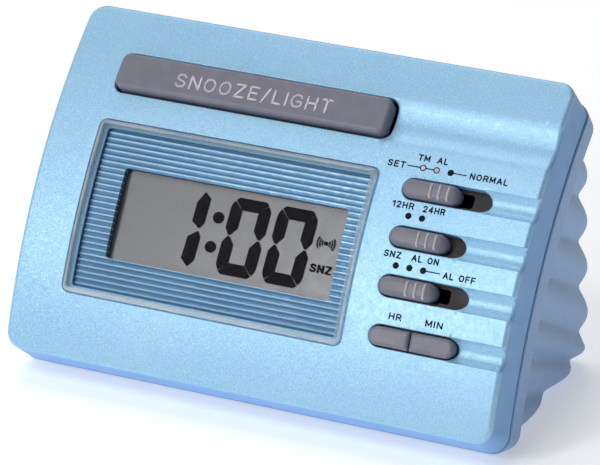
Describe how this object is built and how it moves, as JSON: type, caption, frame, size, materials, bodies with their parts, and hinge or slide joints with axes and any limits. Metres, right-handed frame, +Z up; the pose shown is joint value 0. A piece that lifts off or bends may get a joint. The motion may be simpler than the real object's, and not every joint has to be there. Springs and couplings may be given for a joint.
{
  "type": "alarm clock",
  "caption": "Battery desk alarm clock with a curved leaning face, a digital display, a snooze bar, slide switches and a ribbed back.",
  "frame": {"origin": "on the surface the clock stands on, under the middle of its bounding box", "axes": "+Z up, -Y the side the face looks to, +X the user's right when reading the display"},
  "size_m": [0.112, 0.0609, 0.0691],
  "materials": {
    "front_case_blue": "light blue moulding with a fine metallic flake, satin",
    "back_case_blue": "darker blue-grey moulding with a fine metallic flake, satin",
    "door_blue": "as the back case",
    "lens_clear": "clear polished acrylic",
    "mask_blue": "blue print with fine light lines across",
    "lcd_grey": "grey reflective liquid crystal",
    "backlight_green": "pale light guide",
    "knob_grey": "satin warm grey",
    "black_plastic": "matt black",
    "dark_rubber": "matt",
    "contact_brass": "bright",
    "plated_steel": "bright plating",
    "board_green": "green solder mask",
    "battery_label": "plain printed sleeve",
    "lamp_clear": "clear"
  },
  "bodies": {
    "housing": {"back_case": "back_case_blue", "backlight_panel": "backlight_green", "battery": "battery_label", "battery_spring": "plated_steel", "board_screw_1": "plated_steel", "board_screw_2": "plated_steel", "board_screw_3": "plated_steel", "board_screw_4": "plated_steel", "buzzer": "black_plastic", "case_screw_lower_left": "plated_steel", "case_screw_lower_right": "plated_steel", "case_screw_upper_left": "plated_steel", "case_screw_upper_right": "plated_steel", "clock_chip": "black_plastic", "foot_front_left": "dark_rubber", "foot_front_right": "dark_rubber", "foot_rear_left": "dark_rubber", "foot_rear_right": "dark_rubber", "front_case": "front_case_blue", "hour_contact": "dark_rubber", "lamp": "lamp_clear", "lcd_glass": "lcd_grey", "lens": "lens_clear", "main_board": "board_green", "mask_plate": "mask_blue", "minute_contact": "dark_rubber", "negative_contact": "plated_steel", "positive_contact": "plated_steel", "quartz_crystal": "plated_steel", "snooze_contact_left": "contact_brass", "snooze_contact_right": "contact_brass", "switch_plate": "black_plastic", "zebra_strip": "dark_rubber"},
    "snooze": {"snooze_button": "knob_grey", "snooze_plunger_left": "dark_rubber", "snooze_plunger_right": "dark_rubber"},
    "time_set_slider": {"time_set_knob": "knob_grey", "time_set_wiper": "contact_brass"},
    "hour_mode_slider": {"hour_mode_knob": "knob_grey", "hour_mode_wiper": "contact_brass"},
    "alarm_slider": {"alarm_knob": "knob_grey", "alarm_wiper": "contact_brass"},
    "hour_key": {"hour_button": "knob_grey"},
    "minute_key": {"minute_button": "knob_grey"},
    "battery_cover": {"battery_door": "door_blue"}
  },
  "joints": [
    {"name": "snooze_press", "type": "slide", "parent": "housing", "child": "snooze", "axis": [0, 0.7079, -0.7063], "range_m": [0, 0.0009], "stiffness_N_per_m": 900, "springref_m": -0.0009},
    {"name": "hour_press", "type": "slide", "parent": "housing", "child": "hour_key", "axis": [0, 0.9142, -0.4052], "range_m": [0, 0.0008], "stiffness_N_per_m": 900, "springref_m": -0.0006},
    {"name": "minute_press", "type": "slide", "parent": "housing", "child": "minute_key", "axis": [0, 0.9142, -0.4052], "range_m": [0, 0.0008], "stiffness_N_per_m": 900, "springref_m": -0.0006},
    {"name": "time_set_slide", "type": "slide", "parent": "housing", "child": "time_set_slider", "axis": [1, 0, 0], "range_m": [0, 0.006]},
    {"name": "hour_mode_slide", "type": "slide", "parent": "housing", "child": "hour_mode_slider", "axis": [1, 0, 0], "range_m": [0, 0.003]},
    {"name": "alarm_slide", "type": "slide", "parent": "housing", "child": "alarm_slider", "axis": [1, 0, 0], "range_m": [0, 0.006]},
    {"name": "battery_door_hinge", "type": "hinge", "parent": "housing", "child": "battery_cover", "pos_m": [0, 0.02962, 0.01591], "axis": [-1, 0, 0], "range_deg": [0, 90]}
  ]
}
